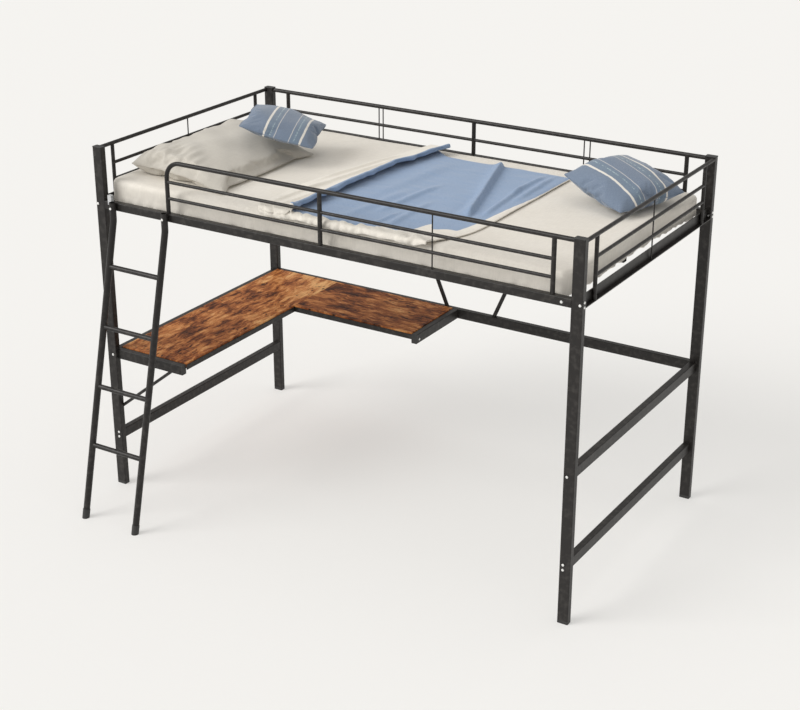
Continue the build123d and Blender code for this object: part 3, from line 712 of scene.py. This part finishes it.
def rounded(points, size, corner, top, bottom):
    """Round a box's upright corners, its top edges and its bottom edges; way is outwards on plan."""
    wide, deep, high = size
    p = points.copy()
    inner = np.array((wide / 2 - corner, deep / 2 - corner))
    core = np.clip(p[:, :2], -inner, inner)
    off = p[:, :2] - core
    reach = np.abs(off).max(1)
    long = np.linalg.norm(off, axis=1)
    way = off / np.maximum(long, 1e-9)[:, None]
    for radius, upper in ((top, True), (bottom, False)):
        rise = p[:, 2] - (high - radius) if upper else radius - p[:, 2]
        out = reach - (corner - radius)
        both = (rise > 0) & (out > 0)
        level, slope = np.maximum(rise, out), np.hypot(rise, out)
        reach = np.where(both, corner - radius + level * out / np.maximum(slope, 1e-9), reach)
        lift = level * rise / np.maximum(slope, 1e-9)
        p[:, 2] = np.where(both, high - radius + lift if upper else radius - lift, p[:, 2])
    p[:, :2] = core + way * reach[:, None]
    return p, way


def make_mattress(sheet_material, ticking):
    """Fitted sheet with a rumpled hem, stretched over a quilted core."""
    low, high = node_box("mattress")
    low, high = low + (0.001, 0.001, 0.0004), high - (0.001, 0.001, 0)
    size = tuple(high - low)
    middle = np.array(((low[0] + high[0]) / 2, (low[1] + high[1]) / 2, low[2]))

    tuck = 0.07
    points, faces = box_grid(size, cell=0.012, under=tuck)
    points, way = rounded(points, size, corner=0.045, top=0.022, bottom=0.008)
    x, y, z = points.T
    # 1 on the upright sides, and a coordinate that runs round them
    side = step(np.hypot(*way.T), 0.5, 1.0) * (1 - step(z, size[2] - 0.03, size[2]))
    round_it = x * np.sign(way[:, 1]) - y * np.sign(way[:, 0])
    top = step(z, size[2] - 0.02, size[2] - 0.004)
    out = side * (0.0012 * swell(round_it, z * 2, 0.16, 31))
    # the hem's rumples, pushed out along the front and back, and the gathers above them
    hem = side * (1 - step(z, 0.006, 0.030))
    out += hem * (0.0015 + 0.0030 * np.abs(way[:, 1]) + 0.0034 * swell(round_it, z * 0.4, 0.036, 32))
    gather = side * (1 - step(z, 0.02, 0.055))
    out += gather * 0.0016 * swell(round_it, z * 0.3, 0.055, 33)
    drawn_in = 0.003
    points[:, :2] += way * (out - drawn_in * side)[:, None]
    # the foot end is not square: its back corner stands further out
    points[:, 0] += 0.024 * step(x, size[0] / 2 - 0.30, size[0] / 2) * step(y, 0.05, size[1] / 2)
    points[:, 2] += top * (0.0012 * swell(x, y, 0.42, 34) - 0.0008)
    # the lower edge is ragged, most of all at the foot end
    at_foot = step(way[:, 0], 0.6, 0.95)
    lift = (1 - step(z, 0.0, 0.02)) * side * (0.10 + 0.90 * at_foot)
    points[:, 2] += lift * (0.008 + 0.0055 * swell(round_it, 0 * z, 0.060, 35))
    sheet = make_piece("fitted_sheet", points + middle, faces, sheet_material)
    wall = sheet.modifiers.new("wall", "SOLIDIFY")
    wall.thickness, wall.offset = 0.0008, -1
    bake_modifiers(sheet)
    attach(sheet, "mattress")

    inset = 0.0085
    core_size = (size[0] - 2 * inset, size[1] - 2 * inset, size[2] - inset - 0.0016)
    points, faces = box_grid(core_size, cell=0.016, under=0)
    points, _ = rounded(points, core_size, corner=0.042, top=0.020, bottom=0.016)
    x, y, z = points.T
    diamond = 0.09
    quilt = np.abs(np.sin((x + y) * math.pi / diamond)) * np.abs(np.sin((x - y) * math.pi / diamond))
    points[:, 2] += np.where(z < 0.002, 0.004 * (1 - quilt ** 0.5), 0)
    core = make_piece("mattress_core", points + middle + (0, 0, 0.0014), faces, ticking)
    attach(core, "mattress")
    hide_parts("mattress")


# ---- soft goods: blanket --------------------------------------------------------------------
# Plan lines as (along, across) in metres from the frame's front left corner.
FOLD_LINE = ((0.722, 0.02), (0.702, 0.294), (0.747, 0.574), (0.841, 0.986))
FREE_EDGE = ((0.8705, 0.043), (0.870, 0.319), (0.877, 0.637), (0.914, 0.864), (0.940, 0.994))
PANEL_FOLDS = (
    # along, across, to along, across, half width, height
    (1.090, 0.20, 1.125, 0.62, 0.013, 0.0085),
    (1.02, 0.08, 1.06, 0.50, 0.022, 0.0070),
    (0.98, 0.30, 1.02, 0.88, 0.030, 0.0060),
    (1.21, 0.06, 1.19, 0.42, 0.014, 0.0085),
    (1.15, 0.05, 1.16, 0.26, 0.010, 0.0070),
    (1.428, 0.34, 1.388, 0.74, 0.009, 0.0110),
    (1.388, 0.60, 1.392, 0.90, 0.010, 0.0095),
    (1.335, 0.30, 1.28, 0.62, 0.018, -0.0040),
    (1.440, 0.55, 1.425, 0.92, 0.010, 0.0085),
)
BAND_FOLDS = (
    (0.712, 0.10, 0.700, 0.62, 0.010, 0.0105),
    (0.716, 0.30, 0.835, 0.84, 0.011, 0.0100),
    (0.760, 0.20, 0.835, 0.70, 0.010, 0.0095),
    (0.745, 0.05, 0.780, 0.34, 0.009, 0.0090),
    (0.790, 0.05, 0.845, 0.36, 0.009, 0.0090),
    (0.820, 0.60, 0.900, 0.95, 0.010, 0.0085),
)
CREASE = (1.397, 0.30, 1.190, 0.935)
OVER_FRONT = (
    # the cloth's path over the front edge of the mattress: run, across, height
    (0.0, 0.0300, -0.0120), (0.014, 0.0290, 0.0010), (0.026, 0.0350, 0.0100),
    (0.040, 0.0470, 0.0135), (0.075, 0.0800, 0.0105), (0.14, 0.145, 0.0075),
)
ALONG, ACROSS = 230, 190             # points each way
TURN_AT, BACK_AT = 0.76, 0.80        # where it turns over and lies flat again, as shares of its length


def line_at(points, y):
    xs, ys = np.array(points).T
    return np.interp(y, ys, xs)


def smoothed(values, axis, width):
    """Running mean along one axis, with the ends kept."""
    kernel = np.ones(width) / width
    padded = np.concatenate([np.repeat(np.take(values, [0], axis), width // 2, axis), values,
                             np.repeat(np.take(values, [-1], axis), width // 2, axis)], axis)
    return np.apply_along_axis(lambda row: np.convolve(row, kernel, "valid"), axis, padded)


def lay_blanket(s, w):
    """Plan and height of the turned-over cloth, still smooth, and the line of its right edge."""
    run, run_y, run_h = np.array(OVER_FRONT).T
    base_y = np.where(w < run[-1], np.interp(w, run, run_y), run_y[-1] + w - run[-1])
    base_h = np.where(w < run[-1], np.interp(w, run, run_h), run_h[-1])
    fold = smoothed(line_at(FOLD_LINE, base_y), 1, 15)
    free = smoothed(line_at(FREE_EDGE, base_y), 1, 15)
    right = 1.482 - 0.085 * np.exp(-((base_y / 0.14) ** 2))
    # from the right edge to the fold, round it, and back over the panel to the free edge
    bend = 0.010
    x = np.where(s < TURN_AT, right + (fold + bend - right) * s / TURN_AT, 0)
    t = np.clip((s - TURN_AT) / (BACK_AT - TURN_AT), 0, 1)
    x = np.where((s >= TURN_AT) & (s < BACK_AT), fold + bend - bend * np.sin(t * math.pi), x)
    x = np.where(s >= BACK_AT, fold + bend + (free - fold - bend) * (s - BACK_AT) / (1 - BACK_AT), x)
    h = base_h + step(s, TURN_AT, BACK_AT) * 0.0155
    # the back edge: the panel's lies further in than the folded band's
    y_back = np.where(s < TURN_AT, 0.925 + 0.061 * (1 - step(x, 0.86, 0.975)), 0.992)
    y = base_y + 0 * s
    free_y = 0.2
    y = np.where(y > free_y, free_y + (y - free_y) * (y_back - free_y) / (base_y[0, -1] - free_y), y)
    return x, y, h, right


def crease_shape(x, y):
    """How the sharp crease fades at its ends, and its section: a long slope, then a steep one."""
    x0, y0, x1, y1 = CREASE
    way = np.array((x1 - x0, y1 - y0)) / math.hypot(x1 - x0, y1 - y0)
    off = (x - x0) * way[1] - (y - y0) * way[0]
    t = (x - x0) * way[0] + (y - y0) * way[1]
    ends = step(t, -0.02, 0.10) * (1 - step(t, 0.62, 0.67) * 0.3)
    left_side = np.exp(-(np.abs(off) / (0.017 + 0.010 * (1 - t))) ** 1.5)
    right_side = np.exp(-(off / 0.0045) ** 2)
    return ends, np.where(off < 0, left_side, right_side)


def rumple_blanket(x, y, h, s, w):
    """Add folds, the crease, slow waves, the front hem's rumples and the turned-up free edge."""
    panel = 1 - step(s, TURN_AT - 0.02, TURN_AT)
    band = step(s, BACK_AT, BACK_AT + 0.02)
    for ridge in PANEL_FOLDS:
        h = h + panel * along_fold(x, y, ridge)
    for ridge in BAND_FOLDS:
        h = h + band * along_fold(x, y, ridge)
    ends, slopes = crease_shape(x, y)
    h = h + panel * ends * 0.0250 * slopes
    h = h + 0.0020 * swell(x, y * 0.6, 0.20, 41) * step(y, 0.05, 0.12)
    h = h + 0.0007 * swell(x, y, 0.06, 42)
    # the front hem
    hem = 1 - step(w, 0.035, 0.085)
    deep = hem * (0.0068 * swell(x, w * 0.5, 0.046, 43) + 0.0034 * swell(x, w, 0.022, 44))
    y = y + deep * (1 - step(w, 0.02, 0.05))
    h = h + deep * step(w, 0.01, 0.04)
    h = h + (1 - step(w, 0.0, 0.03)) * 0.003 * swell(x, 0 * w, 0.09, 45)
    h = h + (1 - step(w, 0.0, 0.05)) * 0.018 * step(x, 1.34, 1.41)
    # the band's free edge, and the panel's right one
    lip = step(s, 0.975, 1.0)
    x = x + band * (lip * 0.009 * swell(0 * x, y, 0.08, 46) - 0.006 * step(s, 0.986, 1.0))
    wave = 0.0028 * swell(x * 0.3, y, 0.15, 47) * step(s, BACK_AT, 1.0)
    h = h + band * (wave + 0.0180 * step(s, 0.945, 0.978) - 0.0150 * step(s, 0.988, 1.0))
    h = h - panel * (1 - step(s, 0.0, 0.015)) * 0.0035
    # clear of the sheet on top, and of the front rail where it hangs
    rest, front, hanging = 0.0036, 0.0275, 0.03
    h = np.maximum(h, rest) * (w > hanging) + h * (w <= hanging)
    middle = np.stack([x, np.maximum(y, front), h + 0 * x], -1)
    return smoothed(smoothed(middle, 0, 3), 1, 3), hem


def blanket_border(middle, right, s, w):
    """How far each side is past the border of the cream: 0.5 is the border and 1 is 5 cm past it."""
    px, py = middle[..., 0], middle[..., 1]
    border = 0.047 + 0.030 * step(px, 1.08, 1.27) + 0.105 * step(px, 1.24, 1.42)
    border += 0.075 * np.exp(-((px - 1.318) / 0.020) ** 2)
    strip = 0.004 + 0.040 * (1 - step(py, 0.1, 0.75))
    blue = np.minimum(py - border, right - strip - px)
    blue = np.where(s > TURN_AT, w - 0.045, blue)
    back = np.where(s > 0.9, np.minimum((s - 0.970) * 1.4, w - 0.03), -0.05) + 0 * blue
    side = np.concatenate([blue.ravel(), back.ravel()]) * 10 + 0.5
    return np.column_stack([side, side])


def make_blanket(material, bed_top):
    """One cloth: blue panel on the bed, its head end folded back to show the cream reverse."""
    s = np.linspace(0, 1, ALONG)[:, None]
    w = np.linspace(0, 1, ACROSS)[None, :] * BLANKET_CUT[1]
    x, y, h, right = lay_blanket(s, w)
    middle, hem = rumple_blanket(x, y, h, s, w)

    slope_s, slope_w = np.gradient(middle, axis=0), np.gradient(middle, axis=1)
    normal = np.cross(slope_w, slope_s)
    normal /= np.linalg.norm(normal, axis=2)[..., None]
    normal = smoothed(smoothed(normal, 0, 3), 1, 3)
    thick = 0.0048 + 0.0022 * hem[..., None] * np.ones_like(normal)
    face = middle + normal * thick / 2
    reverse = middle - normal * thick / 2
    count = ALONG * ACROSS
    index = np.arange(count).reshape(ALONG, ACROSS)
    rim = np.concatenate([index[:, 0], index[-1, 1:], index[-2::-1, -1], index[0, -2:0:-1]])
    rim = np.append(rim, rim[0])
    walls = np.stack([rim[:-1], rim[1:], rim[1:] + count, rim[:-1] + count], 1)
    faces = np.concatenate([quads(index)[:, ::-1], quads(index) + count, walls])
    origin = np.array((CORNER[0], CORNER[1], bed_top))
    points = np.concatenate([face.reshape(-1, 3), reverse.reshape(-1, 3)]) + origin

    cloth = np.stack([s * 0.95 + 0 * w, w + 0 * s], -1).reshape(-1, 2)
    maps = {"cloth": np.concatenate([cloth, cloth]), "border": blanket_border(middle, right, s, w)}
    piece = make_piece("blanket", points, faces, material, maps)
    subdivide(piece)
    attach(piece, "blanket")
    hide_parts("blanket")


def make_bedding():
    bed_top = node_box("mattress")[1][2]
    make_mattress(plain_cloth("sheet_cotton"), plain_cloth("ticking"))
    make_blanket(blanket_cloth(), bed_top)
    sleeper = make_sleeping_pillow(plain_cloth("pillow_cotton"), bed_top)

    def over_sleeper(points):
        return support_height(sleeper, points, bed_top)

    def over_bed(points):
        return np.full(len(points), bed_top)

    head = striped_weave("striped_weave_head", middle=0.024, thin=0.0285, broken=0.046, wide=0.070)
    make_throw("striped_pillow_head", head, size=0.290, x_way=(0.89, 0.39, -0.25),
               normal=(0.26, 0.04, 0.96), thick=0.080, below=over_sleeper, seed=51)
    foot = striped_weave("striped_weave_foot", middle=-0.004, thin=0.0310, broken=0.050, wide=0.078)
    make_throw("striped_pillow_foot", foot, size=0.308, x_way=(0.40, 0.92, 0.06),
               normal=(0.17, -0.14, 0.98), thick=0.112, below=over_bed, seed=52)


# ---- assign to the CAD frame ----------------------------------------------------------------
def paint_frame():
    """Boards by their own name, everything else hard by its slot; the soft nodes are replaced."""
    made = {"black_steel": powder_steel(), "black_plastic": moulded_plastic(), "bolt_chrome": bright_zinc(),
            "clear_plastic": frosted_plastic()}
    # the left board is painted lighter than the back board: painted light, where the lamp's light falls on
    # it
    boards = {"desk_board_left": rustic_board("rustic_board_left", "y", 3.1, 0.09),
              "desk_board_back": rustic_board("rustic_board_back", "x", 7.7, 0.01)}
    for sub in RECORD["subparts"]:
        name, slot = sub["node"], sub["material_slot"]
        material = boards.get(name) or made.get(slot)
        if material is None:
            continue
        for holder in CAD[name].material_slots:
            holder.material = material


add_camera()
add_floor()
add_light()
paint_frame()
make_bedding()
